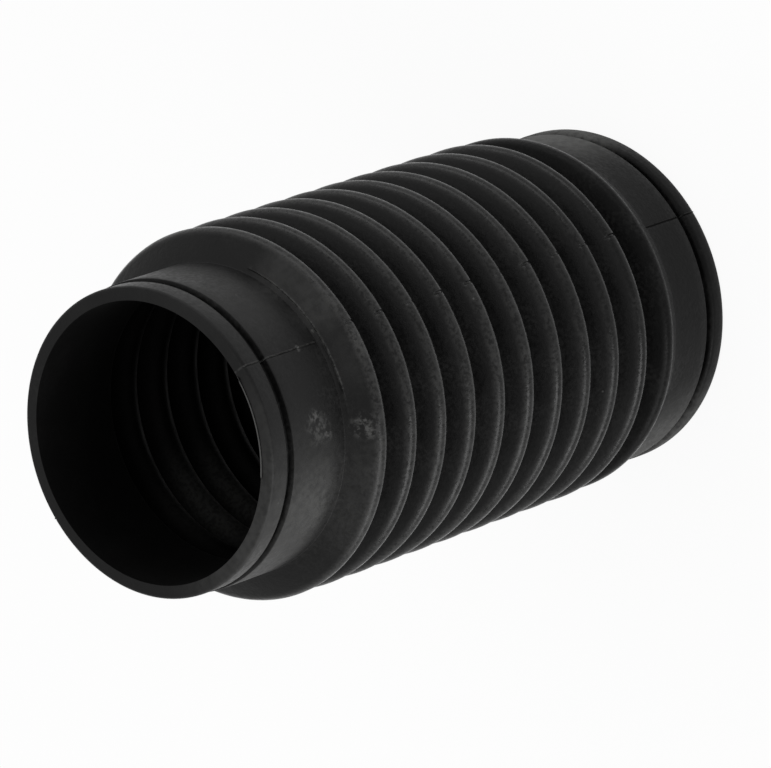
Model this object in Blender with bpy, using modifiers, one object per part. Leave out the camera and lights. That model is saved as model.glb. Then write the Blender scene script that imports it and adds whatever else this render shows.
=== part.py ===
"""Rear shock gaiter: one bellows of moulded rubber, standing on its wide end.

The wall's section is a closed line in the XZ plane, turned once about Z. It runs down the outside,
across the wide end's face, up the inside and across the narrow end's face. Folds are round bends
joined by straight flanks, so every bend is drawn from its tip radius and its rounding alone.
Lengths are in metres. The origin is the centre of the wide end's face, and +Z points to the narrow end.
"""
import math
from typing import NamedTuple

import bpy

MM = 0.001

# Folds: radii are measured to the outside of the rubber
CREST_RADIUS = 37.5 * MM
ROOT_RADIUS = 32.2 * MM
CREST_COUNT = 11
PITCH = 9.55 * MM
CREST_ROUNDING = 2.2 * MM
ROOT_ROUNDING = 1.2 * MM
FOLD_WALL = 1.9 * MM

# Narrow end, which grips the damper's body
NARROW_BORE_RADIUS = 28.55 * MM
NARROW_CUFF_LENGTH = 15.65 * MM

# Wide end, which grips the spring seat
WIDE_BORE_RADIUS = 32.25 * MM
WIDE_CUFF_LENGTH = 10.8 * MM

# Both ends: a cuff, a groove for the clip, and the lip that keeps the clip on
CUFF_WALL = 3.1 * MM
GROOVE_WIDTH = 1.75 * MM
GROOVE_FLOOR_WALL = 1.5 * MM
LIP_LENGTH = 4.7 * MM
LIP_WALL = 2.8 * MM
LIP_EDGE_ROUNDING = 0.8 * MM

# The two roundings of a flank may take up this share of its height, so that some flank stays straight
ROUNDING_SHARE = 0.9

# Facets
TURN_STEPS = 36
CREST_STEPS = 3
ROOT_STEPS = 2
RIDGE_STEPS = 3
EDGE_STEPS = 2

# Black rubber with a soft moulded sheen
RUBBER_COLOUR = (0.012, 0.012, 0.013, 1.0)
RUBBER_ROUGHNESS = 0.45
MERGE_DISTANCE = 0.01 * MM


class Bend(NamedTuple):
    """A round turn of the wall's surface. Its rounding is positive on a crest and negative on a root."""

    tip_radius: float
    height: float
    rounding: float

    def point(self, tilt, reach=None):
        """Point (radius, height) on the bend where the surface leans down by tilt."""
        reach = self.rounding if reach is None else reach
        centre = self.tip_radius - self.rounding
        return centre + reach * math.cos(tilt), self.height - reach * math.sin(tilt)


def flank_tilt(upper, lower):
    """Tilt of the straight flank that touches two bends, the lower one below the upper."""
    across = (lower.tip_radius - lower.rounding) - (upper.tip_radius - upper.rounding)
    down = upper.height - lower.height
    turn = (upper.rounding - lower.rounding) / math.hypot(across, down)
    return math.asin(turn) - math.atan2(across, down)


def bend_points(bend, tilt_above, tilt_below, steps):
    """Points round a bend from the flank above it to the flank below, or its sharp corner for 0 steps."""
    if steps == 0:
        half_turn = (tilt_below - tilt_above) / 2
        return [bend.point(tilt_above + half_turn, bend.rounding / math.cos(half_turn))]
    return [bend.point(tilt_above + (tilt_below - tilt_above) * i / steps) for i in range(steps + 1)]


def fold_line(bends, root_steps, crest_steps):
    """Line down a run of roots and crests. It enters and leaves the run upright, along the two cuffs."""
    tilts = [0.0] + [flank_tilt(upper, lower) for upper, lower in zip(bends, bends[1:])] + [0.0]
    line = []
    for i, bend in enumerate(bends):
        steps = root_steps if i % 2 == 0 else crest_steps
        line += bend_points(bend, tilts[i], tilts[i + 1], steps)
    return line


def wall_bends(top_root_height, inset):
    """Bends of the folds, top to bottom, on the outside (inset 0) or at a wall's depth inside it."""
    share = ROUNDING_SHARE * PITCH / 2 / (CREST_ROUNDING + ROOT_ROUNDING)
    crest_rounding = CREST_ROUNDING * min(1.0, share) - inset
    root_rounding = ROOT_ROUNDING * min(1.0, share) + inset
    narrow_tip = NARROW_BORE_RADIUS if inset else NARROW_BORE_RADIUS + CUFF_WALL
    wide_tip = WIDE_BORE_RADIUS if inset else WIDE_BORE_RADIUS + CUFF_WALL
    root_tips = [narrow_tip] + [ROOT_RADIUS - inset] * (CREST_COUNT - 1) + [wide_tip]
    bends = []
    for i, tip in enumerate(root_tips):
        height = top_root_height - i * PITCH
        bends.append(Bend(tip, height, -root_rounding))
        if i < CREST_COUNT:
            bends.append(Bend(CREST_RADIUS - inset, height - PITCH / 2, crest_rounding))
    return bends


def end_line(bore_radius, face_height, inward):
    """Outside of one end, from its face to its cuff. Inward is +1 where the part lies above the face."""
    lip_radius = bore_radius + LIP_WALL
    rounding = min(LIP_EDGE_ROUNDING, LIP_WALL / 2, LIP_LENGTH / 2)
    line = []
    for i in range(EDGE_STEPS + 1):
        turn = math.pi / 2 * i / EDGE_STEPS
        back = rounding * (1 - math.cos(turn))
        line.append((lip_radius - rounding * (1 - math.sin(turn)), face_height + inward * back))
    groove_start = face_height + inward * LIP_LENGTH
    groove_end = groove_start + inward * GROOVE_WIDTH
    floor_radius = bore_radius + GROOVE_FLOOR_WALL
    line += [(lip_radius, groove_start), (floor_radius, groove_start)]
    line += [(floor_radius, groove_end), (bore_radius + CUFF_WALL, groove_end)]
    return line


def wall_section():
    """Closed section of the rubber as (radius, height) points, running down the outside first."""
    seat_length = LIP_LENGTH + GROOVE_WIDTH
    top_root_height = seat_length + WIDE_CUFF_LENGTH + CREST_COUNT * PITCH
    total_height = top_root_height + NARROW_CUFF_LENGTH + seat_length
    outside = end_line(NARROW_BORE_RADIUS, total_height, -1)
    outside += fold_line(wall_bends(top_root_height, 0.0), ROOT_STEPS, CREST_STEPS)
    outside += reversed(end_line(WIDE_BORE_RADIUS, 0.0, +1))
    inside = [(NARROW_BORE_RADIUS, total_height)]
    inside += fold_line(wall_bends(top_root_height, FOLD_WALL), RIDGE_STEPS, 0)
    inside += [(WIDE_BORE_RADIUS, 0.0)]
    return outside + inside[::-1]


def rubber_material():
    """Black moulded rubber."""
    material = bpy.data.materials.new("black_rubber")
    material.use_nodes = True
    shader = material.node_tree.nodes["Principled BSDF"]
    shader.inputs["Base Color"].default_value = RUBBER_COLOUR
    shader.inputs["Roughness"].default_value = RUBBER_ROUGHNESS
    shader.inputs["Metallic"].default_value = 0.0
    material.diffuse_color = RUBBER_COLOUR
    return material


def turned_object(name, section, collection):
    """Object turned from a closed section about Z."""
    corners = [(radius, 0.0, height) for radius, height in section]
    sides = [(i, (i + 1) % len(corners)) for i in range(len(corners))]
    mesh = bpy.data.meshes.new(name)
    mesh.from_pydata(corners, sides, [])
    turned = bpy.data.objects.new(name, mesh)
    collection.objects.link(turned)
    screw = turned.modifiers.new("full_turn", "SCREW")
    screw.axis = "Z"
    screw.angle = math.tau
    screw.steps = TURN_STEPS
    screw.render_steps = TURN_STEPS
    screw.use_merge_vertices = True
    screw.merge_threshold = MERGE_DISTANCE
    screw.use_smooth_shade = True
    weighted = turned.modifiers.new("flat_end_faces", "WEIGHTED_NORMAL")
    weighted.weight = 100
    return turned


def build():
    """Clear the scene and make the gaiter."""
    for leftover in list(bpy.data.objects):
        bpy.data.objects.remove(leftover, do_unlink=True)
    collection = bpy.data.collections.new("rear_shock_gaiter")
    bpy.context.scene.collection.children.link(collection)
    gaiter = turned_object("gaiter", wall_section(), collection)
    gaiter.data.materials.append(rubber_material())


build()
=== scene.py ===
# %% [markdown]
# # A rear shock gaiter
# A gaiter is the rubber bellows that keeps water and grit off a motorcycle's rear shock. This one is a
# single black moulding: a narrow cuff and a wide one, each with a groove for its clip, and eleven folds in
# between. The imported part is loaded first. It stands on its wide end. Nothing made here may be much bigger
# than the real thing.

# %% Load the imported part
import math

import bmesh
import bpy
from mathutils import Matrix, Vector


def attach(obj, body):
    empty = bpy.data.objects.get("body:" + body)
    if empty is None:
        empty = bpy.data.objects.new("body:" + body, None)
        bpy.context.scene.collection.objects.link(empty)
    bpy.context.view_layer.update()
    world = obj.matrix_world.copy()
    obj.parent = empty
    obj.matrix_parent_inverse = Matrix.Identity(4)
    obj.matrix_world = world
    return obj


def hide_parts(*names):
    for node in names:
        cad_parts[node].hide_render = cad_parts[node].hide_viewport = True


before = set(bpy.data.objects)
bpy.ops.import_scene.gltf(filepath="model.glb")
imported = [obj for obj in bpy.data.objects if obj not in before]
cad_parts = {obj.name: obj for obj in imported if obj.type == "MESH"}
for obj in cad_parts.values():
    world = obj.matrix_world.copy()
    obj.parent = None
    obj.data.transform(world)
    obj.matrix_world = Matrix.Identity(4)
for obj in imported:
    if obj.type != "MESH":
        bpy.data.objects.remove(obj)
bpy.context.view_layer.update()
print("nodes:", list(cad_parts))

# %% [markdown]
# ## Sizes
# Every size is a length in metres, written in millimetres, as it would be read off the part with calipers.
# Heights are measured from the wide end's face, which is down on the floor. A rounding is the radius of a
# bend.

# %% Sizes of the moulding
MM = 0.001
TOTAL_HEIGHT = 144.4 * MM
LIP_LENGTH = 4.7 * MM
GROOVE_WIDTH = 1.75 * MM
NARROW_BORE = 28.55 * MM
WIDE_BORE = 32.25 * MM
LIP_WALL = 2.8 * MM
CUFF_WALL = 3.1 * MM
GROOVE_FLOOR_WALL = 1.5 * MM
CREST_COUNT = 11
PITCH = 9.55 * MM
CREST_RADIUS = 37.5 * MM
ROOT_RADIUS = 32.2 * MM
FOLD_WALL = 1.9 * MM
CREST_ROUNDING = 2.2 * MM
ROOT_ROUNDING = 1.2 * MM
FOOT_ROUNDING = 0.15 * MM
TOP_ROOT_HEIGHT = 122.3 * MM
WIDE_FOOT_HEIGHT = TOP_ROOT_HEIGHT - CREST_COUNT * PITCH
print("folds from", round(WIDE_FOOT_HEIGHT / MM, 2), "to", round(TOP_ROOT_HEIGHT / MM, 2), "mm high")

# %% [markdown]
# ## The folds' section
# The folds are the bellows itself: a thin wavy wall, the same all round, which opens and closes as the shock
# moves. It could be stacked from rings or cut from a cylinder. Here its section is drawn once and spun,
# because the wall really is one section turned about an axis. The section is drawn with sharp corners, which
# are easy to place, and each is then rounded by a bevel of the right size. A bend's corner lies where the
# straight lines on its two sides would meet. Soft rubber is never quite straight between two bends, so the
# middle of each outer flank bulges by a fraction of a millimetre.


# %% Corners of the folds
def flank_lean(upper, lower):
    """How far the straight flank between two bends leans. A bend is (tip, height, rounding)."""
    across = (lower[0] - lower[2]) - (upper[0] - upper[2])
    down = upper[1] - lower[1]
    return math.asin((upper[2] - lower[2]) / math.hypot(across, down)) - math.atan2(across, down)


def bend_corners(bends, steps, bulge):
    """Sharp corners of a run of bends, each as (radius, height, bevel length, bevel steps)."""
    leans = [0.0] + [flank_lean(a, b) for a, b in zip(bends, bends[1:])] + [0.0]
    corners = []
    for i, (tip, height, rounding) in enumerate(bends):
        middle, half_turn = (leans[i] + leans[i + 1]) / 2, (leans[i + 1] - leans[i]) / 2
        reach = rounding / math.cos(half_turn)
        corners.append((tip - rounding + reach * math.cos(middle), height - reach * math.sin(middle),
                        abs(rounding * math.tan(half_turn)), steps[i % 2]))
        if bulge and i + 1 < len(bends):
            lean, (next_tip, next_height, next_rounding) = leans[i + 1], bends[i + 1]
            both = rounding + next_rounding
            across = (tip - rounding + next_tip - next_rounding + both * math.cos(lean)) / 2
            down = (height + next_height - both * math.sin(lean)) / 2
            corners.append((across + bulge * math.cos(lean), down - bulge * math.sin(lean), 0.0, 0))
    return corners


def fold_bends(inset):
    """Bends of the folds from the top down, on the outside or at a wall's depth inside."""
    narrow_tip = NARROW_BORE if inset else NARROW_BORE + CUFF_WALL
    wide_tip = WIDE_BORE if inset else WIDE_BORE + CUFF_WALL
    tips = [narrow_tip] + [ROOT_RADIUS - inset] * (CREST_COUNT - 1) + [wide_tip]
    bends = []
    for i, tip in enumerate(tips):
        rounding = FOOT_ROUNDING if i == 0 else ROOT_ROUNDING
        bends.append((tip, TOP_ROOT_HEIGHT - i * PITCH, -rounding - inset))
        if i < CREST_COUNT:
            crest_height = TOP_ROOT_HEIGHT - (i + 0.5) * PITCH
            bends.append((CREST_RADIUS - inset, crest_height, CREST_ROUNDING - inset))
    return bends


# %% Lay out both sides of the wall
FLANK_BULGE = 0.08 * MM
# Bevel steps of a root and of a crest
OUTER_STEPS = (5, 9)
INNER_STEPS = (5, 2)

outer_folds = bend_corners(fold_bends(0.0), OUTER_STEPS, FLANK_BULGE)
inner_folds = bend_corners(fold_bends(FOLD_WALL), INNER_STEPS, 0.0)
print("fold corners:", len(outer_folds), "outside,", len(inner_folds), "inside")

# %% [markdown]
# ## The two ends
# Each end has a lip, a groove cut square for the wire or band, and a plain cuff. On the narrow end the lip
# is square with a rounded front edge. On the wide end it is a full round bead. They could be separate rings,
# but the real ends are one piece with the folds, so they are more corners of the same section. The groove's
# edges are crisp but not knife sharp, so they get a very small bevel. A few plain rows on the cuffs give the
# seam points to be made uneven with.

# %% Corners of both ends
NARROW_LIP_EDGES = (0.8 * MM, 0.22 * MM)
WIDE_LIP_EDGES = (1.7 * MM, 1.1 * MM)
WIDE_LIP_SWELL = 0.45 * MM
GROOVE_EDGE = 0.22 * MM
LIP_EDGE_STEPS = (7, 4)
GROOVE_EDGE_STEPS = (2, 2, 3)
ROW_SPACING = 3.0 * MM


def rows_between(radius, start, end):
    """Plain corners spaced along an upright stretch of the section."""
    count = int(abs(end - start) / ROW_SPACING)
    return [(radius, start + (end - start) * (i + 1) / (count + 1), 0.0, 0) for i in range(count)]


def end_corners(bore, face, inward, lip_edges, lip_swell, foot):
    """Corners of one end from lip to cuff's foot. Inward is +1 where the part lies above the face."""
    lip, cuff, floor = bore + LIP_WALL + lip_swell, bore + CUFF_WALL, bore + GROOVE_FLOOR_WALL
    groove_start = face + inward * LIP_LENGTH
    groove_end = groove_start + inward * GROOVE_WIDTH
    corners = [(lip, face, lip_edges[0], LIP_EDGE_STEPS[0]),
               (lip, groove_start, lip_edges[1], LIP_EDGE_STEPS[1]),
               (floor, groove_start, GROOVE_EDGE, GROOVE_EDGE_STEPS[0]),
               (floor, groove_end, GROOVE_EDGE, GROOVE_EDGE_STEPS[1]),
               (cuff, groove_end, GROOVE_EDGE, GROOVE_EDGE_STEPS[2])]
    return corners + rows_between(cuff, groove_end, foot)


narrow_end = end_corners(NARROW_BORE, TOTAL_HEIGHT, -1, NARROW_LIP_EDGES, 0.0, TOP_ROOT_HEIGHT)
wide_end = end_corners(WIDE_BORE, 0.0, +1, WIDE_LIP_EDGES, WIDE_LIP_SWELL, WIDE_FOOT_HEIGHT)
print("corners of the ends:", len(narrow_end), "narrow,", len(wide_end), "wide")

# %% [markdown]
# ## The fin at the mouth
# Round the narrow bore's mouth the core has left a thin fin of flash, with a hair of a gap behind it. It
# could be a ring laid on the face, but flash is one with the part. It is drawn all round here, as four
# corners at the mouth, and is trimmed to its short run after the spin.

# %% Corners of the narrow mouth
FIN_HEIGHT = 0.22 * MM
FIN_WIDTH = 0.2 * MM
FIN_GAP = 0.14 * MM

fin_foot = NARROW_BORE + FIN_WIDTH
mouth = [(NARROW_BORE, TOTAL_HEIGHT + FIN_HEIGHT, 0.0, 0), (fin_foot, TOTAL_HEIGHT + FIN_HEIGHT, 0.0, 0),
         (fin_foot, TOTAL_HEIGHT - FIN_GAP, 0.0, 0), (fin_foot + FIN_GAP, TOTAL_HEIGHT, 0.0, 0)]
print("fin of", round(FIN_WIDTH / MM, 2), "by", round(FIN_HEIGHT / MM, 2), "mm")

# %% [markdown]
# ## The witness line
# Where two parts of the mould meet round the foot of the narrow cuff, a fine ridge is left on the first
# flank. A thin torus would float on the surface, so the ridge is three corners close together in the
# section. The middle one is raised after the spin, only where the ridge can be seen. With it the section is
# complete: down the outside, across the wide face, and up the inside.

# %% Corners of the witness line, and the whole section
WITNESS_PLACE = 1.15 * MM
WITNESS_HALF = 0.2 * MM
WIDE_MOUTH_EDGE = 0.3 * MM
WIDE_MOUTH_STEPS = 3

foot, flank = (Vector((c[0], 0, c[1])) for c in outer_folds[:2])
down_flank = (flank - foot).normalized()
witness = [foot + down_flank * (WITNESS_PLACE + step * WITNESS_HALF) for step in (-1, 0, 1)]
witness_corners = [(place.x, place.z, 0.0, 0) for place in witness]
witness_radius, witness_height = witness[1].x, witness[1].z

section = mouth + narrow_end + outer_folds[:1] + witness_corners + outer_folds[1:]
section += wide_end[::-1] + [(WIDE_BORE, 0.0, WIDE_MOUTH_EDGE, WIDE_MOUTH_STEPS)] + inner_folds[::-1]
print("section corners:", len(section))
print("witness line at radius", round(witness_radius / MM, 2), "mm")

# %% [markdown]
# ## Picking points
# By hand, points are clicked on or boxed in. A script picks them by their place, with one small function
# that asks a yes or no question of every point. An operator then acts on what is selected.


# %% Helpers that select
def only_active(piece):
    """Select one object and nothing else."""
    bpy.ops.object.select_all(action="DESELECT")
    piece.select_set(True)
    bpy.context.view_layer.objects.active = piece


def pick_vertices(piece, wanted):
    """Select the vertices for which wanted(place) is true, and return how many there are."""
    if piece.mode != "EDIT":
        only_active(piece)
        bpy.ops.object.mode_set(mode="EDIT")
    bpy.ops.mesh.select_mode(type="VERT")
    bpy.ops.mesh.select_all(action="DESELECT")
    mesh = bmesh.from_edit_mesh(piece.data)
    count = 0
    for vertex in mesh.verts:
        if wanted(vertex.co):
            vertex.select_set(True)
            count += 1
    mesh.select_flush_mode()
    bmesh.update_edit_mesh(piece.data)
    return count


# %% [markdown]
# ## Drawing the section
# By hand this is a plane merged to one point, which is extruded from corner to corner until the line is back
# near its start. The ring of edges is closed, and then every corner that is round on the real part is
# bevelled. A polygon built from a list of points would be quicker, but this way every step is one that can
# be done at the keyboard.

# %% Draw the section
SAME_POINT = 0.01 * MM


def draw_section(name, corners):
    """Closed line through the corners in the XZ plane, drawn by extruding one point."""
    bpy.ops.object.select_all(action="DESELECT")
    bpy.ops.mesh.primitive_plane_add(size=LIP_WALL, location=(0, 0, 0))
    piece = bpy.context.object
    piece.name = piece.data.name = name
    bpy.ops.object.mode_set(mode="EDIT")
    bpy.ops.mesh.merge(type="CENTER")
    x, z = corners[0][:2]
    bpy.ops.transform.translate(value=(x, 0, z))
    for radius, height, _, _ in corners[1:]:
        step = (radius - x, 0, height - z)
        bpy.ops.mesh.extrude_vertices_move(TRANSFORM_OT_translate={"value": step})
        x, z = radius, height
    ends = [Vector((c[0], 0, c[1])) for c in (corners[0], corners[-1])]
    pick_vertices(piece, lambda place: any((place - end).length < SAME_POINT for end in ends))
    bpy.ops.mesh.edge_face_add()
    for radius, height, length, steps in corners:
        if not steps:
            continue
        corner = Vector((radius, 0, height))
        pick_vertices(piece, lambda place: (place - corner).length < SAME_POINT)
        bpy.ops.mesh.bevel(offset=length, offset_type="OFFSET", affect="VERTICES", segments=steps,
                           profile=0.5)
    bpy.ops.object.mode_set(mode="OBJECT")
    return piece


gaiter = draw_section("gaiter_rubber", section)
print("section points:", len(gaiter.data.vertices))

# %% [markdown]
# ## Spinning it
# The section is spun once about the upright axis. A Screw modifier would do the same, but the spin leaves
# real points to pick for the seams. The first and last sections are merged, and the normals are made to
# point out.

# %% Spin the section
TURN_STEPS = 240
MERGE_REACH = 0.005 * MM

pick_vertices(gaiter, lambda place: True)
bpy.ops.mesh.spin(steps=TURN_STEPS, angle=math.tau, center=(0, 0, 0), axis=(0, 0, 1))
bpy.ops.mesh.select_all(action="SELECT")
bpy.ops.mesh.remove_doubles(threshold=MERGE_REACH)
bpy.ops.mesh.normals_make_consistent(inside=False)
bpy.ops.object.mode_set(mode="OBJECT")
print("faces after the spin:", len(gaiter.data.polygons))

# %% [markdown]
# ## The mould's seams
# The mould splits along two lines on opposite sides, at -Y and +Y, and leaves a ragged hair of flash there.
# A painted line would not catch the light, so it is modelled. The seam's column of edges is bevelled into a
# narrow strip. Its middle line is pushed out, to its full and uneven height on the cuffs and lips, and to a
# quarter of it on the folds, where the flash has worn down.

# %% Which points lie on the seams
ON_LINE = 0.02 * MM
FACE_CLEARANCE = 0.05 * MM


def wall_side(radius, height):
    """Positive outside the middle of the wall at a height, negative inside it."""
    if height >= TOP_ROOT_HEIGHT:
        return radius - NARROW_BORE - GROOVE_FLOOR_WALL / 2
    if height <= WIDE_FOOT_HEIGHT:
        return radius - WIDE_BORE - GROOVE_FLOOR_WALL / 2
    swing = math.cos(math.tau * (TOP_ROOT_HEIGHT - height) / PITCH)
    middle = (CREST_RADIUS + ROOT_RADIUS - FOLD_WALL) / 2 - swing * (CREST_RADIUS - ROOT_RADIUS) / 2
    return radius - middle


def on_seam(place):
    """True on the outside of the wall, on the two lines where the mould parts."""
    if abs(place.x) > ON_LINE or not FACE_CLEARANCE < place.z < TOTAL_HEIGHT - FACE_CLEARANCE:
        return False
    return wall_side(abs(place.y), place.z) > 0


def on_an_end(place):
    """True above or below the folds, on a cuff or a lip."""
    return not WIDE_FOOT_HEIGHT < place.z < TOP_ROOT_HEIGHT


print("seam points:", pick_vertices(gaiter, on_seam))

# %% Raise the seams
SEAM_WIDTH = 0.7 * MM
SEAM_STEPS = 4
SEAM_HEIGHT = 0.17 * MM
FOLD_SHARE = 0.25
SEAM_SHAKE = 0.08 * MM

bpy.ops.mesh.select_mode(type="EDGE")
bpy.ops.mesh.bevel(offset=SEAM_WIDTH / 2, offset_type="OFFSET", affect="EDGES", segments=SEAM_STEPS,
                   profile=0.5)
bpy.ops.object.mode_set(mode="OBJECT")
print("raised points:", pick_vertices(gaiter, on_seam))
bpy.ops.transform.shrink_fatten(value=SEAM_HEIGHT * FOLD_SHARE)
bpy.ops.object.mode_set(mode="OBJECT")
count = pick_vertices(gaiter, lambda place: on_seam(place) and on_an_end(place))
bpy.ops.transform.shrink_fatten(value=SEAM_HEIGHT * (1 - FOLD_SHARE))
bpy.ops.transform.vertex_random(offset=SEAM_SHAKE, seed=4)
bpy.ops.object.mode_set(mode="OBJECT")
print("points raised further on the cuffs and lips:", count)

# %% [markdown]
# ## The gap beside the seam
# On the cuffs the flash lies over to one side and leaves a thin dark gap under it. A dark stripe in the
# material would be flat, so the next column of points is pushed in towards the axis. A resize about the axis
# does that without turning or crossing any face.

# %% Press in the gap
SEAM_GAP_DEPTH = 0.13 * MM


def in_seam_gap(place):
    """True for the points beside each seam's middle, on its -X side, where it runs over a cuff or lip."""
    column = SEAM_WIDTH / SEAM_STEPS
    beside = abs(place.x + column) < column / 3
    return beside and on_an_end(place) and on_seam(Vector((0, place.y, place.z)))


print("points in the gap under the seam:", pick_vertices(gaiter, in_seam_gap))
bpy.ops.transform.resize(value=(1, 1 - SEAM_GAP_DEPTH / ROOT_RADIUS, 1), center_override=(0, 0, 0))
bpy.ops.object.mode_set(mode="OBJECT")

# %% [markdown]
# ## Nicks in the crests
# At each crest the flash has been torn off and has left a small nick, never quite the same as the next. They
# could be cut with a Boolean, but they are so shallow that pressing in the seam's middle points at each tip
# is enough, and it keeps the mesh clean. A slow wave makes their depths differ.

# %% Nick the seam at every crest
NICK_DEPTH = 0.32 * MM
NICK_REACH = 0.45 * MM
NICK_WAVE = 0.25
NICK_WAVE_STEP = 2.3


def in_nick(place, crest_height):
    """True for the middle points of both seams on the tip of one crest."""
    tip = math.hypot(place.x, place.y) > CREST_RADIUS - NICK_REACH
    return tip and abs(place.x) < SEAM_WIDTH / 3 and abs(place.z - crest_height) < PITCH / 2


for i in range(CREST_COUNT):
    crest_height = TOP_ROOT_HEIGHT - (i + 0.5) * PITCH
    count = pick_vertices(gaiter, lambda place: in_nick(place, crest_height))
    depth = NICK_DEPTH * (1 - NICK_WAVE + NICK_WAVE * math.sin(NICK_WAVE_STEP * i))
    bpy.ops.transform.resize(value=(1, 1 - depth / CREST_RADIUS, 1), center_override=(0, 0, 0))
    bpy.ops.object.mode_set(mode="OBJECT")
print("points in the last nick:", count)

# %% [markdown]
# ## Raising the witness line
# The ridge isn't even: it is high and ragged beside the seam, and runs out to nothing past it. A curve with
# a thickness could draw it, but its middle ring was drawn with the section, so it only has to be pushed out,
# run by run, and shaken a little.

# %% Raise the witness line where it shows
WITNESS_HEIGHT = 0.2 * MM
WITNESS_SHAKE = 0.09 * MM
# Headings where a run starts and ends, and its share of the height and of the shake
WITNESS_RUNS = ((-92, -52, 1.0, 1.0), (-112, -92, 0.8, 0.2), (-118, -112, 0.3, 0.2))
ON_RING = 0.03 * MM


def heading(place):
    """Angle round the axis in degrees, from +X towards +Y."""
    return math.degrees(math.atan2(place.y, place.x))


def on_witness(place, first, last):
    """True on the witness line's middle ring between two headings."""
    off_radius = abs(math.hypot(place.x, place.y) - witness_radius)
    near = off_radius < ON_RING and abs(place.z - witness_height) < ON_RING
    return near and first < heading(place) < last


for first, last, height_share, shake_share in WITNESS_RUNS:
    count = pick_vertices(gaiter, lambda place: on_witness(place, first, last))
    bpy.ops.transform.shrink_fatten(value=WITNESS_HEIGHT * height_share)
    bpy.ops.transform.vertex_random(offset=WITNESS_SHAKE * shake_share, seed=7)
    bpy.ops.object.mode_set(mode="OBJECT")
    print("witness points from", first, "to", last, "degrees:", count)

# %% [markdown]
# ## Trimming the fin
# Most of the fin is missing on the real part, and a short run is left beside the seam. Deleting faces would
# open the mesh, so the rest of the fin and its gap are pressed flat into the lip's face.

# %% Trim the fin at the narrow mouth to its short run
FIN_RUN = (-133, -93)
MOUTH_REACH = 0.5 * MM
FIN_CLEARANCE = 0.05 * MM


def fin_to_trim(place):
    """True for the points of the fin and its gap outside the run that is left."""
    past_fin = math.hypot(place.x, place.y) > fin_foot + FIN_CLEARANCE
    if abs(place.z - TOTAL_HEIGHT) > MOUTH_REACH or past_fin:
        return False
    return not FIN_RUN[0] < heading(place) < FIN_RUN[1]


print("trimmed points:", pick_vertices(gaiter, fin_to_trim))
bpy.ops.transform.resize(value=(1, 1, 0), center_override=(0, 0, TOTAL_HEIGHT))
bpy.ops.object.mode_set(mode="OBJECT")

# %% [markdown]
# ## Smoothing
# Bends and cuffs look round when their shading is smooth, but the groove and the fin need their edges.
# Smoothing by angle does both: neighbouring faces that meet at less than the angle are shaded as one
# surface. Far more steps in the spin would look round as well, but at the cost of many more triangles.

# %% Smooth the surface but keep the crisp edges
SMOOTH_ANGLE = math.radians(40)

only_active(gaiter)
bpy.ops.object.shade_smooth_by_angle(angle=SMOOTH_ANGLE)
print("triangles:", sum(len(p.vertices) - 2 for p in gaiter.data.polygons))

# %% [markdown]
# ## Black moulded rubber
# The gaiter is nitrile or natural rubber filled with carbon black, moulded hot in a fine-blasted steel tool.
# The filler takes nearly all the light that goes in, so what the eye sees is a weak, wide sheen off a skin
# that is finely matt. One flat black would look like a hole, so the finish is built up from nodes. Colours
# are written in sRGB hex and turned to linear by one function, and one function adds every node.

# %% Colour and node helpers
RUBBER_IOR = 1.52
RUBBER_BLACK = "#070707"


def linear(hex_colour):
    """Linear RGBA from an sRGB hex colour."""
    parts = [int(hex_colour[i:i + 2], 16) / 255 for i in (1, 3, 5)]
    return [p / 12.92 if p <= 0.04045 else ((p + 0.055) / 1.055) ** 2.4 for p in parts] + [1.0]


def add_node(tree, kind, inputs, **settings):
    """Add a node with its settings. An input is a value, or another node's output, which is linked."""
    node = tree.nodes.new("ShaderNode" + kind)
    for key, value in settings.items():
        setattr(node, key, value)
    for key, value in inputs.items():
        if isinstance(value, bpy.types.NodeSocket):
            tree.links.new(value, node.inputs[key])
        else:
            node.inputs[key].default_value = value
    return node


def new_rubber(name, sheen):
    """Material of plain rubber, with its node tree and its shader. Sheen is the Specular IOR Level."""
    material = bpy.data.materials.new(name)
    material.use_nodes = True
    shader = material.node_tree.nodes["Principled BSDF"]
    shader.inputs["IOR"].default_value = RUBBER_IOR
    shader.inputs["Specular IOR Level"].default_value = sheen
    return material, material.node_tree, shader


print("rubber black in linear light:", round(linear(RUBBER_BLACK)[0], 4))

# %% [markdown]
# ## Masks
# What lies on the rubber, such as bloom, dust or chalk, is drawn as masks, and so are the painted highlights,
# the painted sheen and the painted shade. A mask is an even strength plus a few soft round patches, and it
# is then faded by height, by radius or by a noise. Image textures could do it, but patches at places in
# millimetres stay sharp at any distance and are easy to move. Everything reads Object coordinates, so it
# stays put on the part.

# %% Helper for masks
# Share of a patch's reach that is at full strength
PATCH_CORE = 0.25


def mask(tree, place, even, patches, fades):
    """An even strength and soft round patches, added up and faded.

    A patch is (x, y, z, reach, strength), with its lengths in millimetres. A fade is (value, low, high,
    share at low, share at high), and it is smooth in between.
    """
    total = even
    for x, y, z, reach, strength in patches:
        gap = add_node(tree, "VectorMath", {0: place, 1: (x * MM, y * MM, z * MM)}, operation="DISTANCE")
        patch = add_node(tree, "MapRange",
                         {"Value": gap.outputs["Value"], "From Min": PATCH_CORE * reach * MM,
                          "From Max": reach * MM, "To Min": strength, "To Max": 0.0},
                         interpolation_type="SMOOTHSTEP")
        total = add_node(tree, "Math", {0: total, 1: patch.outputs["Result"]}, operation="ADD").outputs[0]
    for value, low, high, at_low, at_high in fades:
        share = add_node(tree, "MapRange",
                         {"Value": value, "From Min": low, "From Max": high,
                          "To Min": at_low, "To Max": at_high}, interpolation_type="SMOOTHSTEP")
        total = add_node(tree, "Math", {0: total, 1: share.outputs["Result"]},
                         operation="MULTIPLY").outputs[0]
    return total


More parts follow.
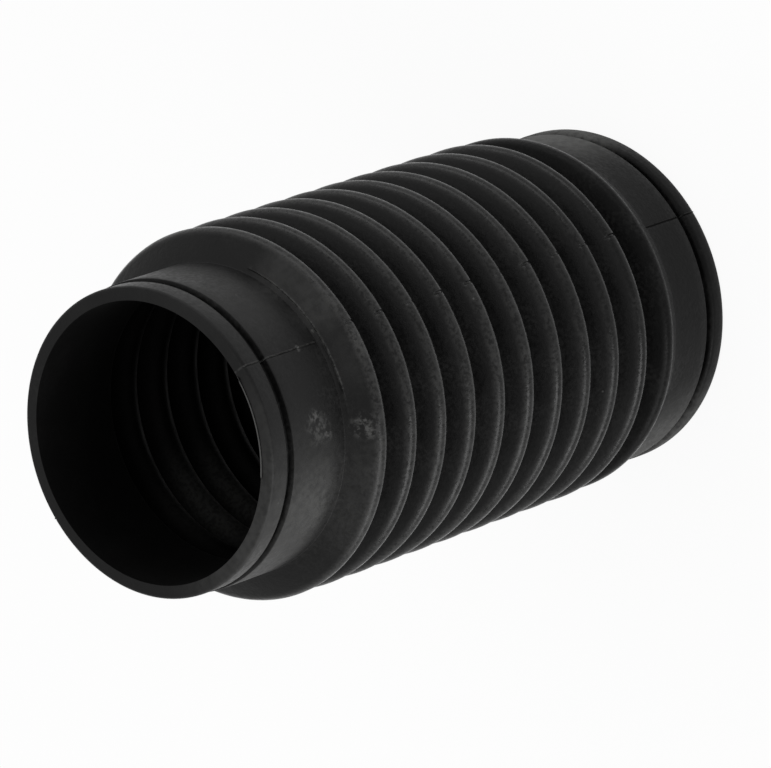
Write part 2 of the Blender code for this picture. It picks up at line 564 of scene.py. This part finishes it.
# %% [markdown]
# ## The skin's patterns
# Three noises break up everything that lies on the skin. The blots are the size of a thumbprint and come
# from the way the rubber flowed. The mottle is the size of a grain of rice, and the grain is the tool's
# blasted surface. One noise with many octaves would cover all three, but then none of them could be faded by
# itself. Their scales are worked out from these sizes.

# %% Patterns of the outside
OUTSIDE_SHEEN = 0.175
BLOT = 7.0 * MM
MOTTLE = 1.6 * MM
# The blasted grain is about 0.15 mm on the real skin. It is drawn coarser, so that it shows at all.
GRAIN = 0.8 * MM
BLOT_NOISE = {"Scale": 1 / BLOT, "Detail": 3.0, "Roughness": 0.5}
MOTTLE_NOISE = {"Scale": 1 / MOTTLE, "Detail": 3.0, "Roughness": 0.6}
GRAIN_NOISE = {"Scale": 1 / GRAIN, "Detail": 2.0, "Roughness": 0.6}

rubber, tree, shader = new_rubber("moulded_black_rubber", OUTSIDE_SHEEN)
place = add_node(tree, "TexCoord", {}).outputs["Object"]
blots, mottle, grain = (add_node(tree, "TexNoise", {"Vector": place, **pattern}).outputs["Fac"]
                        for pattern in (BLOT_NOISE, MOTTLE_NOISE, GRAIN_NOISE))
print("noise scales:", [round(pattern["Scale"]) for pattern in (BLOT_NOISE, MOTTLE_NOISE, GRAIN_NOISE)])

# %% [markdown]
# ## Where a point lies
# Fades go by height, by the distance from the axis, or by the distance from a line such as the seam. All of
# these can be worked out from the point's place with a few sums, so no map has to be painted.

# %% Height, radius and distance from the lines
across, depthwise, height = add_node(tree, "SeparateXYZ", {0: place}).outputs
level_place = add_node(tree, "CombineXYZ", {"X": across, "Y": depthwise}).outputs[0]
radius = add_node(tree, "VectorMath", {0: level_place}, operation="LENGTH").outputs["Value"]
off_seam = add_node(tree, "Math", {0: across}, operation="ABSOLUTE").outputs[0]
past_witness = add_node(tree, "Math", {0: radius, 1: witness_radius}, operation="SUBTRACT").outputs[0]
off_witness = add_node(tree, "Math", {0: past_witness}, operation="ABSOLUTE").outputs[0]
print("nodes so far:", len(tree.nodes))

# %% [markdown]
# ## Bloom
# Wax and antioxidant have come to the surface as a thin grey bloom. It is strongest on the narrow cuff's
# lower side and on the first flank, and lighter on the lip's face. A uniform grey would look like paint, so
# it lies in patches and the mottle breaks it up. None of it is in the clip groove, which nothing has
# touched.

# %% Bloom on the narrow end
CUFF_BLOOM = [(-31, -10, 134, 30, 0.26), (-27, -17, 131, 12, 0.14), (16, -27, 132, 17, 0.12)]
FACE_BLOOM = [(-14, -27, 144.4, 15, 0.13), (-28, -10, 144.4, 16, 0.06)]
FLANK_BLOOM = [(15, -31, 119.5, 8, 0.2), (6, -35, 119, 8, 0.22), (-6, -35, 119, 9, 0.07),
               (-30, -20, 119, 20, 0.13)]

mottled = (mottle, 0.25, 0.7, 0.55, 1.25)
above_foot = (height, 122.8 * MM, 128 * MM, 0.0, 1.0)
on_face = (height, 143.8 * MM, 144.2 * MM, 0.0, 1.0)
on_first_flank = (height, 117.3 * MM, 118.5 * MM, 0.0, 1.0)
past_groove_floor = (radius, 30.3 * MM, 31.2 * MM, 0.0, 1.0)
near_face = (height, 143 * MM, 144 * MM, 0.0, 1.0)

proud, facing = (mask(tree, place, 1.0, [], [fade]) for fade in (past_groove_floor, near_face))
off_groove = add_node(tree, "Math", {0: proud, 1: facing}, operation="MAXIMUM").outputs[0]
cuff_bloom = mask(tree, place, 0.0, CUFF_BLOOM, [above_foot, mottled])
cuff_bloom = add_node(tree, "Math", {0: cuff_bloom, 1: off_groove}, operation="MULTIPLY").outputs[0]
face_bloom = mask(tree, place, 0.0, FACE_BLOOM, [on_face, mottled])
flank_bloom = mask(tree, place, 0.0, FLANK_BLOOM, [on_first_flank, mottled])
print("patches of bloom:", len(CUFF_BLOOM + FACE_BLOOM + FLANK_BLOOM))

# %% [markdown]
# ## Haze, dust, wear and painted sheen
# A faint haze lies all over. Fine dust has settled on the outer half of the wide lip. Two grey patches on
# the wide end, near its edges as the camera sees them, are painted sheen. The crests rub on the spring, so
# their tips are grey; that grey fades towards the wide end as painted shade. The dust and the painted sheen
# are broken by the mottle and the wear by the grain, because dust lies loose and wear is rubbed in.

# %% Haze, dust and painted sheen
# Painted sheen on the wide end near its edges as the camera sees them, broken by the mottle
END_PAINTED_SHEEN = [(33, -19, 7, 22, 1.0), (-40, 2, 5, 26, 0.5)]

in_blots = (blots, 0.35, 0.75, 0.0, 1.0)
faint_grain = (grain, 0.4, 0.65, 0.0, 0.08)
outer_half = (height, 0.4 * MM, 2.8 * MM, 0.16, 0.0)
lightly_mottled = (mottle, 0.3, 0.7, 0.7, 1.2)
below_folds = (height, 15 * MM, 19 * MM, 1.0, 0.0)
strongly_mottled = (mottle, 0.3, 0.65, 0.45, 1.3)

haze = mask(tree, place, 1.0, [], [in_blots, faint_grain])
lip_dust = mask(tree, place, 1.0, [], [outer_half, lightly_mottled])
end_painted_sheen = mask(tree, place, 0.0, END_PAINTED_SHEEN, [below_folds, strongly_mottled])
print("patches of dust:", len(END_PAINTED_SHEEN))

# %% Rubbed crests
CREST_WEAR = 0.13
FIRST_CREST_WEAR = [(-4, -37.3, 118, 5, 0.12)]

at_crest_tips = (radius, CREST_RADIUS - 1.1 * MM, CREST_RADIUS, 0.0, 1.0)
rubbed_in = (grain, 0.35, 0.6, 0.4, 1.3)
# The wear fades towards the wide end as painted shade, for the weaker light on the lower crests
painted_shade_low_down = (height, 20 * MM, 80 * MM, 0.1, 1.0)

crest_wear_and_shade = mask(tree, place, CREST_WEAR, FIRST_CREST_WEAR, [at_crest_tips, rubbed_in, painted_shade_low_down])
print("wear of a crest:", CREST_WEAR, "and beside the seam on the first:", CREST_WEAR + FIRST_CREST_WEAR[0][4])

# %% [markdown]
# ## Scuffs and specks
# Two chalky scuffs sit side by side on the narrow cuff and the first flank, with a few single flecks. Specks
# of grit are scattered far apart. Scuffs could be painted by hand, but patches cut into flecks by two noises
# have the same broken edge as chalk on a rough skin.

# %% Scuffs and specks
SCUFFS = [(-15.6, -27.8, 130, 4.8, 0.55), (-13.2, -28.8, 130.8, 1.8, 0.6),
          (-17.2, -26.6, 127.3, 1.8, 0.6), (-18.5, -29.5, 120, 3.5, 0.85), (-20.5, -29, 118.6, 2.0, 0.7)]
FLECKS = [(-0.2, -31.7, 128.2, 1.0, 0.9), (2.1, -31.8, 121.8, 0.7, 0.9)]
SPECK_SPACING = 9.0 * MM

in_flecks = (mottle, 0.42, 0.6, 0.0, 1.0)
chalky = (grain, 0.4, 0.65, 0.25, 0.8)
scuffs = mask(tree, place, 0.0, SCUFFS + FLECKS, [in_flecks, chalky])

cells = add_node(tree, "TexVoronoi", {"Vector": place, "Scale": 1 / SPECK_SPACING}, feature="F1")
at_cell_middles = (cells.outputs["Distance"], 0.01, 0.035, 0.5, 0.0)
specks = mask(tree, place, 1.0, [], [at_cell_middles])
print("scuff patches:", len(SCUFFS), "single flecks:", len(FLECKS))

# %% [markdown]
# ## Painted highlights on the flash
# The seam, the witness line and the fin stand proud and catch the light along their tops. These light lines
# are painted highlights. A light material on their faces would have hard borders, so the painted light
# follows the distance from each line and is broken by the grain. On the seam it is painted at -Y only.

# %% Painted highlights on the raised lines
# Painted highlights along the witness line, along the seam at -Y and on the fin's top
WITNESS_HIGHLIGHTS = [(-6, -32, 121.5, 9, 0.3), (9, -31, 121.5, 12, 0.3)]

broken = (grain, 0.4, 0.6, 0.25, 1.3)
along_witness = (off_witness, 0.1 * MM, 0.35 * MM, 1.0, 0.0)
outside_only = (height, witness_height - 1.0 * MM, witness_height - 0.6 * MM, 0.0, 1.0)
along_seam = (off_seam, 0.08 * MM, 0.3 * MM, 1.0, 0.0)
above_folds = (height, 121 * MM, 124 * MM, 0.0, 0.22)
seen_side = (depthwise, -10 * MM, -5 * MM, 1.0, 0.0)
on_fin_top = (height, TOTAL_HEIGHT + 0.04 * MM, TOTAL_HEIGHT + 0.15 * MM, 0.0, 0.8)

witness_highlight = mask(tree, place, 0.0, WITNESS_HIGHLIGHTS, [along_witness, outside_only, broken])
seam_highlight = mask(tree, place, 1.0, [], [along_seam, above_folds, seen_side, broken])
fin_highlight = mask(tree, place, 1.0, [], [on_fin_top])
print("patches on the witness line:", len(WITNESS_HIGHLIGHTS))

# %% [markdown]
# ## Colour and roughness of the outside
# All the masks together are one grey film over the black: the real bloom, dust, wear and chalk, and the
# painted highlights, painted sheen and painted shade. Each could be a shader of its own, mixed in one after
# the other, but one film is quicker to render and can't add up to more than solid chalk. The film sets the
# colour and makes the skin more matt, because loose powder scatters light. The crest tips are the other way
# round: rubbing has polished them, so they draw a thin bright line.

# %% Film and painted light over the black
FILM_AND_PAINTED_LIGHT_GREY = "#525251"

film_and_painted_light = haze
for layer in (cuff_bloom, face_bloom, flank_bloom, lip_dust, end_painted_sheen, crest_wear_and_shade, scuffs, specks,
              witness_highlight, seam_highlight, fin_highlight):
    film_and_painted_light = add_node(tree, "Math", {0: film_and_painted_light, 1: layer}, operation="ADD").outputs[0]
film_and_painted_light = add_node(tree, "Clamp", {"Value": film_and_painted_light}).outputs[0]
colour = add_node(tree, "Mix", {"Factor": film_and_painted_light, "A": linear(RUBBER_BLACK), "B": linear(FILM_AND_PAINTED_LIGHT_GREY)},
                  data_type="RGBA")
tree.links.new(colour.outputs["Result"], shader.inputs["Base Color"])
print("film grey in linear light:", round(linear(FILM_AND_PAINTED_LIGHT_GREY)[0], 4))

# %% Roughness of the skin
skin = (blots, 0.3, 0.7, 0.45, 0.55)
powder = (film_and_painted_light, 0.0, 1.0, 0.0, 0.25)
blasting = (grain, 0.3, 0.7, -0.08, 0.08)
polish = (radius, CREST_RADIUS - 0.5 * MM, CREST_RADIUS, 0.0, -0.2)

roughness = mask(tree, place, 1.0, [], [skin])
for change in (powder, blasting, polish):
    part = mask(tree, place, 1.0, [], [change])
    roughness = add_node(tree, "Math", {0: roughness, 1: part}, operation="ADD").outputs[0]
tree.links.new(roughness, shader.inputs["Roughness"])
print("roughness of the bare skin:", skin[3], "to", skin[4])

# %% [markdown]
# ## The blasted relief
# The tool's blasting leaves real relief a few hundredths of a millimetre deep. Modelling it would take
# millions of faces, so it is a bump, which only bends the light. The visible shapes are all geometry.

# %% Relief of the skin
GRAIN_DEPTH = 0.07 * MM
GRAIN_STRENGTH = 0.6

relief = add_node(tree, "Math", {0: grain, 1: mottle}, operation="ADD").outputs[0]
bump = add_node(tree, "Bump", {"Height": relief, "Strength": GRAIN_STRENGTH, "Distance": GRAIN_DEPTH})
tree.links.new(bump.outputs["Normal"], shader.inputs["Normal"])
print("relief in mm:", round(GRAIN_DEPTH / MM, 2), "nodes of the outside:", len(tree.nodes))

# %% [markdown]
# ## Rubber of the inside
# The core that forms the inside is left rougher than the outer mould, and release powder stays on it. The
# outside's material would shine too much there, so the same black is used with far less sheen, partly for
# that dull skin and partly as painted shade, as little light gets inside. A lighter patch low down on the far
# wall is a painted pool of light, where light from the mouth falls on the folds inside.

# %% Core side
# Far less sheen than outside, partly painted shade
CORE_SHADED_SHEEN = 0.045
CORE_DUST_AND_LIGHT_GREY = "#393938"
# A painted pool of light low down on the far wall inside
CORE_LIT_PATCHES = [(-9, 29.5, 101, 18, 0.6)]

core_side, tree, shader = new_rubber("shaded_core_side_black_rubber", CORE_SHADED_SHEEN)
place = add_node(tree, "TexCoord", {}).outputs["Object"]
blots, grain = (add_node(tree, "TexNoise", {"Vector": place, **pattern}).outputs["Fac"]
                for pattern in (BLOT_NOISE, GRAIN_NOISE))
height = add_node(tree, "SeparateXYZ", {0: place}).outputs["Z"]

powdery = (grain, 0.35, 0.6, 0.5, 1.0)
faint_blots = (blots, 0.4, 0.75, 0.0, 0.05)
painted_light_inside = mask(tree, place, 0.0, CORE_LIT_PATCHES, [powdery])
scattered = mask(tree, place, 1.0, [], [faint_blots, powdery])
dust_and_light = add_node(tree, "Math", {0: painted_light_inside, 1: scattered}, operation="ADD").outputs[0]
colour = add_node(tree, "Mix", {"Factor": dust_and_light, "A": linear(RUBBER_BLACK), "B": linear(CORE_DUST_AND_LIGHT_GREY)},
                  data_type="RGBA")
tree.links.new(colour.outputs["Result"], shader.inputs["Base Color"])
print("patches of dust inside:", len(CORE_LIT_PATCHES))

# %% Roughness and relief of the core side
core_skin = (blots, 0.3, 0.7, 0.52, 0.62)
matt_near_mouth = (height, 112 * MM, 119 * MM, 0.0, 0.35)

skin, mouth_matt = (mask(tree, place, 1.0, [], [fade]) for fade in (core_skin, matt_near_mouth))
roughness = add_node(tree, "Math", {0: skin, 1: mouth_matt}, operation="ADD").outputs[0]
tree.links.new(roughness, shader.inputs["Roughness"])
bump = add_node(tree, "Bump", {"Height": grain, "Strength": GRAIN_STRENGTH, "Distance": GRAIN_DEPTH})
tree.links.new(bump.outputs["Normal"], shader.inputs["Normal"])
print("nodes of the inside:", len(tree.nodes))

# %% [markdown]
# ## Rubber of the wide end
# The wide cuff and the last fold have less sheen, as painted shade: near the floor they mirror the shaded
# paper beside the base, and the last crest gets weaker light. A third material could be built from nothing,
# but it is the same rubber with the same film, so it is a copy of the outside's material with less sheen.

# %% Duller rubber of the wide end, as painted shade
# Less sheen on the wide end is painted shade
WIDE_END_SHADED_SHEEN = 0.08

shaded_rubber_wide_end = rubber.copy()
shaded_rubber_wide_end.name = "shaded_black_rubber_wide_end"
shaded_rubber_wide_end.node_tree.nodes["Principled BSDF"].inputs["Specular IOR Level"].default_value = WIDE_END_SHADED_SHEEN
print("sheen:", OUTSIDE_SHEEN, "outside,", WIDE_END_SHADED_SHEEN, "wide end,", CORE_SHADED_SHEEN, "inside")

# %% [markdown]
# ## Which face has which finish
# The three finishes meet at the mouths and in the last root, where the mould's parts met. Three separate
# objects would leave gaps there, so the piece stays one mesh with three material slots, as the real part is
# one moulding. Then it is tied to the imported part: it rides on the root and stands in for the gaiter's
# solid.


# %% Give the gaiter its three finishes
def on_wide_end(place):
    """True from the wide end's face up to the root above the last crest."""
    return place.z < WIDE_FOOT_HEIGHT + PITCH


def on_core_side(place):
    """True on the inside of the wall, but not on the fin at the narrow mouth."""
    radius = math.hypot(place.x, place.y)
    on_fin = place.z > TOTAL_HEIGHT - FIN_HEIGHT and radius > NARROW_BORE + FIN_WIDTH / 4
    return wall_side(radius, place.z) < 0 and not on_fin


finishes = ((rubber, lambda place: True), (shaded_rubber_wide_end, on_wide_end), (core_side, on_core_side))
gaiter.data.materials.clear()
for material, wanted in finishes:
    gaiter.data.materials.append(material)
    count = pick_vertices(gaiter, wanted)
    gaiter.active_material_index = len(gaiter.data.materials) - 1
    bpy.ops.object.material_slot_assign()
    bpy.ops.object.mode_set(mode="OBJECT")
    print(material.name, "points:", count)

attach(gaiter, "root")
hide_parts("gaiter")

# %% [markdown]
# ## Floor
# The gaiter lies on white paper that runs out of the picture on all sides. More light would make any floor
# white, but it would also wash out the rubber, so the paper glows only for rays from the camera and for
# mirrored rays. A small share of what the camera sees stays plain paper, which keeps a soft shadow. Diffuse
# light sees the paper's own colour.

# %% Which rays see the glow
SEEN_GLOW = 0.92
MIRRORED_GLOW = 1.0


def ray_part(tree, seen, mirrored):
    """Seen for rays from the camera, mirrored for rays off glossy or through clear things, otherwise 0."""
    rays = add_node(tree, "LightPath", {}).outputs
    bounced = add_node(tree, "Math", {0: rays["Is Glossy Ray"], 1: rays["Is Transmission Ray"]},
                       operation="MAXIMUM").outputs[0]
    bounced = add_node(tree, "Math", {0: bounced, 1: mirrored}, operation="MULTIPLY").outputs[0]
    return add_node(tree, "Math", {0: rays["Is Camera Ray"], 1: seen, 2: bounced},
                    operation="MULTIPLY_ADD").outputs[0]


# %% White paper
FLOOR_RADIUS = 6.0
FLOOR_SIDES = 96
PAPER_WHITE = "#FAFAFA"
PURE_WHITE = "#FFFFFF"

bpy.ops.object.select_all(action="DESELECT")
bpy.ops.mesh.primitive_circle_add(vertices=FLOOR_SIDES, radius=FLOOR_RADIUS, fill_type="NGON",
                                  location=(0, 0, 0))
floor = bpy.context.object
floor.name = "studio_floor"
paper = bpy.data.materials.new("white_paper")
paper.use_nodes = True
tree = paper.node_tree
tree.nodes.clear()
matt_paper = add_node(tree, "BsdfDiffuse", {"Color": linear(PAPER_WHITE)}).outputs[0]
glow = add_node(tree, "Emission", {"Color": linear(PURE_WHITE), "Strength": 1.0}).outputs[0]
mix = add_node(tree, "MixShader", {0: ray_part(tree, SEEN_GLOW, MIRRORED_GLOW), 1: matt_paper, 2: glow})
add_node(tree, "OutputMaterial", {"Surface": mix.outputs[0]})
floor.data.materials.append(paper)
print("floor across in metres:", 2 * FLOOR_RADIUS)

# %% [markdown]
# ## World
# Product photographs are taken in a white tent, which gives an even light from all sides and leaves no hard
# shadow. The world plays the tent, because walls of cloth would have to be lit as well. It is white for the
# camera, and weaker for the light that it gives, so that the soft boxes still shape the folds.

# %% An even white tent
TENT_LIGHT = 0.5
MIRRORED_TENT = 0.65

world = bpy.data.worlds.new("studio_tent")
bpy.context.scene.world = world
world.use_nodes = True
tree = world.node_tree
tree.nodes.clear()
extra = ray_part(tree, 1.0 - TENT_LIGHT, MIRRORED_TENT - TENT_LIGHT)
strength = add_node(tree, "Math", {0: extra, 1: TENT_LIGHT}, operation="ADD").outputs[0]
sky = add_node(tree, "Background", {"Color": linear(PURE_WHITE), "Strength": strength})
add_node(tree, "OutputWorld", {"Surface": sky.outputs[0]})
print("tent light:", TENT_LIGHT, "mirrored:", MIRRORED_TENT)

# %% [markdown]
# ## Soft boxes
# Black rubber shows its shape only by what it mirrors. A wide low box on each side draws a band of light
# along the cuffs and a bright line on every crest, and a weak one overhead opens up the flanks. A sun or a
# spot would draw small hard highlights instead. The camera doesn't see the boxes.


# %% Two low boxes and one overhead
def soft_box(name, azimuth, elevation, distance, width, height, level):
    """Area lamp that faces the gaiter's middle. Its level is its face's brightness, where 1 is white."""
    aim = Vector((0, 0, TOTAL_HEIGHT / 2))
    turn, lift = math.radians(azimuth), math.radians(elevation)
    toward = Vector((math.sin(turn) * math.cos(lift), -math.cos(turn) * math.cos(lift), math.sin(lift)))
    bpy.ops.object.light_add(type="AREA", location=aim + toward * distance)
    lamp = bpy.context.object
    lamp.name = name
    lamp.rotation_euler = toward.to_track_quat("Z", "Y").to_euler()
    lamp.data.shape = "RECTANGLE"
    lamp.data.size, lamp.data.size_y = width, height
    lamp.data.energy = level * math.pi * width * height
    lamp.visible_camera = False
    print(name, "watts:", round(lamp.data.energy, 1))


soft_box("soft_box_near_side", azimuth=282, elevation=12, distance=2.0, width=2.3, height=0.75, level=5.6)
soft_box("soft_box_front", azimuth=60, elevation=9, distance=2.0, width=2.6, height=0.6, level=2.4)
soft_box("soft_box_overhead", azimuth=90, elevation=75, distance=1.8, width=2.0, height=2.0, level=0.65)

# %% [markdown]
# ## Camera
# The picture was taken from above and in front of the narrow end, with a long lens. A camera could be aimed
# by eye, but the place, the two axes and the focal length were found by fitting the edges of the crests and
# of both ends to the photograph. The camera's third axis follows from the other two.

# %% Camera at the photograph's viewing angle
CAMERA_PLACE = (-0.264984, -0.96969, 1.242569)
CAMERA_RIGHT = (-0.49892, -0.60943, -0.61618)
CAMERA_UP = (0.84998, -0.48286, -0.21067)
LENS = 355.81
SENSOR = 36.0
CLIP_NEAR, CLIP_FAR = 0.05, 50

camera = bpy.data.objects.new("camera", bpy.data.cameras.new("camera"))
bpy.context.scene.collection.objects.link(camera)
right, up = Vector(CAMERA_RIGHT), Vector(CAMERA_UP)
axes = Matrix((right, up, right.cross(up))).transposed()
camera.matrix_world = Matrix.Translation(CAMERA_PLACE) @ axes.to_4x4()
camera.data.sensor_width = SENSOR
camera.data.lens = LENS
camera.data.clip_start, camera.data.clip_end = CLIP_NEAR, CLIP_FAR
bpy.context.scene.camera = camera
bpy.context.scene.view_settings.view_transform = "Standard"
print("camera distance in metres:", round(Vector(CAMERA_PLACE).length, 3))
